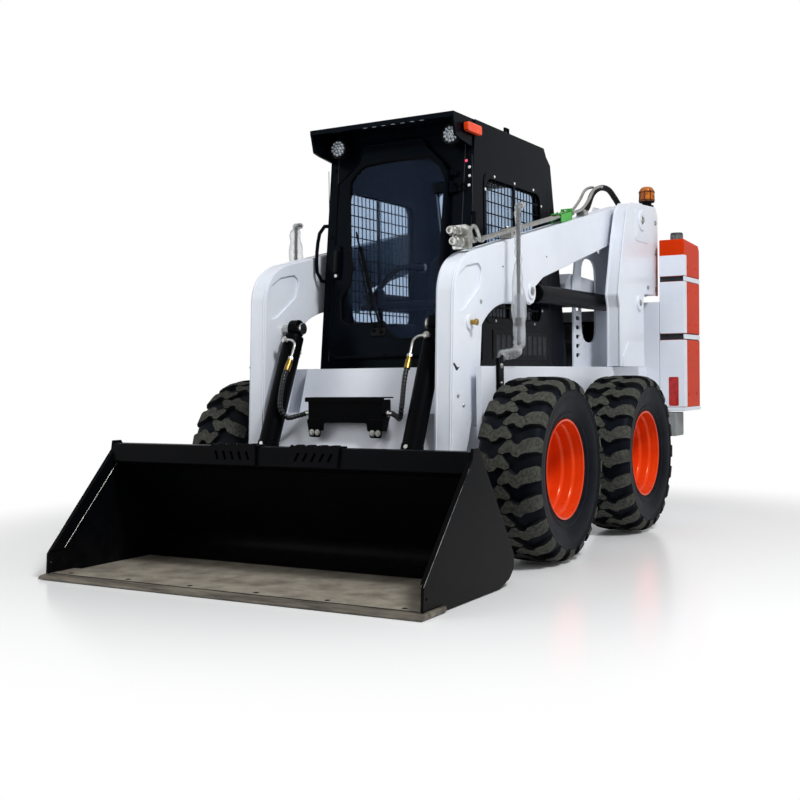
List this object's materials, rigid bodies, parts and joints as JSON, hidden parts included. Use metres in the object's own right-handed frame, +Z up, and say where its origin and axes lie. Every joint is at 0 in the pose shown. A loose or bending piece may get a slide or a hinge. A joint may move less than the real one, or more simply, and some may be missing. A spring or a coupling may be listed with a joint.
{
  "type": "skid steer loader",
  "caption": "Compact skid steer loader with radial lift arms, a dirt bucket, an enclosed cab with a front door and four chunky tyres",
  "frame": {"origin": "on the ground, at the middle of the footprint", "axes": "+X to the machine's left, +Y to its rear, +Z up; the bucket points to -Y"},
  "size_m": [1.85, 3.759, 2.074],
  "materials": {
    "main_frame": "glossy white enamel",
    "left_upright": "glossy white enamel",
    "right_upright": "glossy white enamel",
    "left_lift_arm": "glossy white enamel",
    "right_lift_arm": "glossy white enamel",
    "arm_cross_member": "glossy white enamel",
    "tail_frame": "glossy white enamel",
    "front_step": "semi-gloss black powder coat",
    "quick_coupler": "semi-gloss black powder coat",
    "bucket_shell": "semi-gloss black powder coat",
    "bucket_side_left": "semi-gloss black powder coat",
    "bucket_side_right": "semi-gloss black powder coat",
    "cab_shell": "semi-gloss black powder coat",
    "cab_roof": "semi-gloss black powder coat",
    "door_frame": "semi-gloss black powder coat",
    "seat_base": "semi-gloss black powder coat",
    "engine_hood": "semi-gloss black powder coat",
    "left_lift_barrel": "semi-gloss black powder coat",
    "right_lift_barrel": "semi-gloss black powder coat",
    "left_tilt_barrel": "semi-gloss black powder coat",
    "right_tilt_barrel": "semi-gloss black powder coat",
    "tail_pod_left": "glossy orange-red enamel",
    "tail_pod_right": "glossy orange-red enamel",
    "tailgate": "glossy orange-red enamel",
    "lap_bar": "glossy orange-red enamel",
    "rim_front_left": "glossy orange-red enamel",
    "rim_front_right": "glossy orange-red enamel",
    "rim_rear_left": "glossy orange-red enamel",
    "rim_rear_right": "glossy orange-red enamel",
    "mirror_left": "black textured plastic",
    "mirror_right": "black textured plastic",
    "tyre_front_left": "black tyre rubber, dusty",
    "tyre_front_right": "black tyre rubber, dusty",
    "tyre_rear_left": "black tyre rubber, dusty",
    "tyre_rear_right": "black tyre rubber, dusty",
    "left_lift_rod": "hard chrome, ground",
    "right_lift_rod": "hard chrome, ground",
    "left_tilt_rod": "hard chrome, ground",
    "right_tilt_rod": "hard chrome, ground",
    "hose_coupler": "zinc plated steel",
    "engine_block": "dark engine grey",
    "bucket_cutting_edge": "worn steel with soil film",
    "rear_bumper": "satin grey paint",
    "pivot_hose": "black hydraulic hose",
    "left_tilt_hose": "black hydraulic hose",
    "right_tilt_hose": "black hydraulic hose",
    "cab_window_left": "tinted safety glass",
    "cab_window_right": "tinted safety glass",
    "cab_window_rear": "tinted safety glass",
    "door_glass": "tinted safety glass",
    "operator_seat": "black seat vinyl",
    "beacon": "amber lens"
  },
  "bodies": {
    "chassis": {"main_frame": "main_frame", "left_upright": "left_upright", "right_upright": "right_upright", "tail_frame": "tail_frame", "rear_bumper": "rear_bumper", "tail_pod_left": "tail_pod_left", "tail_pod_right": "tail_pod_right", "engine_block": "engine_block", "cab_shell": "cab_shell", "cab_roof": "cab_roof", "cab_window_left": "cab_window_left", "cab_window_right": "cab_window_right", "cab_window_rear": "cab_window_rear", "seat_base": "seat_base", "operator_seat": "operator_seat", "beacon": "beacon", "mirror_left": "mirror_left", "mirror_right": "mirror_right"},
    "wheel_front_left": {"tyre_front_left": "tyre_front_left", "rim_front_left": "rim_front_left"},
    "wheel_front_right": {"tyre_front_right": "tyre_front_right", "rim_front_right": "rim_front_right"},
    "wheel_rear_left": {"tyre_rear_left": "tyre_rear_left", "rim_rear_left": "rim_rear_left"},
    "wheel_rear_right": {"tyre_rear_right": "tyre_rear_right", "rim_rear_right": "rim_rear_right"},
    "lift_arms": {"left_lift_arm": "left_lift_arm", "right_lift_arm": "right_lift_arm", "arm_cross_member": "arm_cross_member", "front_step": "front_step", "hose_coupler": "hose_coupler", "pivot_hose": "pivot_hose", "left_tilt_hose": "left_tilt_hose", "right_tilt_hose": "right_tilt_hose"},
    "bucket": {"quick_coupler": "quick_coupler", "bucket_shell": "bucket_shell", "bucket_side_left": "bucket_side_left", "bucket_side_right": "bucket_side_right", "bucket_cutting_edge": "bucket_cutting_edge"},
    "cab_door": {"door_frame": "door_frame", "door_glass": "door_glass"},
    "tailgate": {"tailgate": "tailgate"},
    "engine_hood": {"engine_hood": "engine_hood"},
    "lap_bar": {"lap_bar": "lap_bar"},
    "left_lift_barrel": {"left_lift_barrel": "left_lift_barrel"},
    "left_lift_rod": {"left_lift_rod": "left_lift_rod"},
    "right_lift_barrel": {"right_lift_barrel": "right_lift_barrel"},
    "right_lift_rod": {"right_lift_rod": "right_lift_rod"},
    "left_tilt_barrel": {"left_tilt_barrel": "left_tilt_barrel"},
    "left_tilt_rod": {"left_tilt_rod": "left_tilt_rod"},
    "right_tilt_barrel": {"right_tilt_barrel": "right_tilt_barrel"},
    "right_tilt_rod": {"right_tilt_rod": "right_tilt_rod"}
  },
  "joints": [
    {"name": "arm_lift", "type": "hinge", "parent": "chassis", "child": "lift_arms", "pos_m": [0, 1.2905, 1.725], "axis": [-1, 0, 0], "range_deg": [0, 63]},
    {"name": "left_lift_barrel_swing", "type": "hinge", "parent": "chassis", "child": "left_lift_barrel", "pos_m": [0.497, 1.2405, 1.24], "axis": [-1, 0, 0], "range_deg": [0, 56.5]},
    {"name": "left_lift_rod_slide", "type": "slide", "parent": "left_lift_barrel", "child": "left_lift_rod", "axis": [0, -1, -0.0038], "range_m": [0, 0.4776]},
    {"name": "right_lift_barrel_swing", "type": "hinge", "parent": "chassis", "child": "right_lift_barrel", "pos_m": [-0.497, 1.2405, 1.24], "axis": [-1, 0, 0], "range_deg": [0, 56.5]},
    {"name": "right_lift_rod_slide", "type": "slide", "parent": "right_lift_barrel", "child": "right_lift_rod", "axis": [0, -1, -0.0038], "range_m": [0, 0.4776]},
    {"name": "bucket_tilt", "type": "hinge", "parent": "lift_arms", "child": "bucket", "pos_m": [0, -1.0095, 0.18], "axis": [1, 0, 0], "range_deg": [-22, 90]},
    {"name": "left_tilt_barrel_swing", "type": "hinge", "parent": "lift_arms", "child": "left_tilt_barrel", "pos_m": [0.38, -0.7545, 1.06], "axis": [1, 0, 0], "range_deg": [-2.4, 0.7]},
    {"name": "left_tilt_rod_slide", "type": "slide", "parent": "left_tilt_barrel", "child": "left_tilt_rod", "axis": [0, -0.3962, -0.9182], "range_m": [-0.056, 0.222]},
    {"name": "right_tilt_barrel_swing", "type": "hinge", "parent": "lift_arms", "child": "right_tilt_barrel", "pos_m": [-0.38, -0.7545, 1.06], "axis": [1, 0, 0], "range_deg": [-2.4, 0.7]},
    {"name": "right_tilt_rod_slide", "type": "slide", "parent": "right_tilt_barrel", "child": "right_tilt_rod", "axis": [0, -0.3962, -0.9182], "range_m": [-0.056, 0.222]},
    {"name": "wheel_front_left_spin", "type": "hinge", "parent": "chassis", "child": "wheel_front_left", "pos_m": [0.775, -0.5195, 0.41], "axis": [1, 0, 0], "continuous": true},
    {"name": "wheel_front_right_spin", "type": "hinge", "parent": "chassis", "child": "wheel_front_right", "pos_m": [-0.775, -0.5195, 0.41], "axis": [1, 0, 0], "continuous": true},
    {"name": "wheel_rear_left_spin", "type": "hinge", "parent": "chassis", "child": "wheel_rear_left", "pos_m": [0.775, 0.6005, 0.41], "axis": [1, 0, 0], "continuous": true},
    {"name": "wheel_rear_right_spin", "type": "hinge", "parent": "chassis", "child": "wheel_rear_right", "pos_m": [-0.775, 0.6005, 0.41], "axis": [1, 0, 0], "continuous": true},
    {"name": "cab_door_swing", "type": "hinge", "parent": "chassis", "child": "cab_door", "pos_m": [0.3, -0.48418, 1.36689], "axis": [0, 0.1203, 0.9927], "range_deg": [0, 80]},
    {"name": "tailgate_swing", "type": "hinge", "parent": "chassis", "child": "tailgate", "pos_m": [-0.66, 1.8655, 0.92], "axis": [0, 0, 1], "range_deg": [0, 90]},
    {"name": "engine_hood_lift", "type": "hinge", "parent": "chassis", "child": "engine_hood", "pos_m": [0, 0.8105, 1.296], "axis": [1, 0, 0], "range_deg": [0, 60]},
    {"name": "lap_bar_lift", "type": "hinge", "parent": "chassis", "child": "lap_bar", "pos_m": [0, 0.4055, 1.44], "axis": [-1, 0, 0], "range_deg": [0, 55]}
  ],
  "couplings": [
    {"joint": "left_lift_barrel_swing", "follows": "arm_lift", "ratio": 0.88892},
    {"joint": "left_lift_rod_slide", "follows": "arm_lift", "m_per_rad": 0.43075},
    {"joint": "right_lift_barrel_swing", "follows": "arm_lift", "ratio": 0.88892},
    {"joint": "right_lift_rod_slide", "follows": "arm_lift", "m_per_rad": 0.43075},
    {"joint": "left_tilt_barrel_swing", "follows": "bucket_tilt", "ratio": -0.0244},
    {"joint": "left_tilt_rod_slide", "follows": "bucket_tilt", "m_per_rad": 0.1397},
    {"joint": "right_tilt_barrel_swing", "follows": "bucket_tilt", "ratio": -0.0244},
    {"joint": "right_tilt_rod_slide", "follows": "bucket_tilt", "m_per_rad": 0.1397}
  ]
}
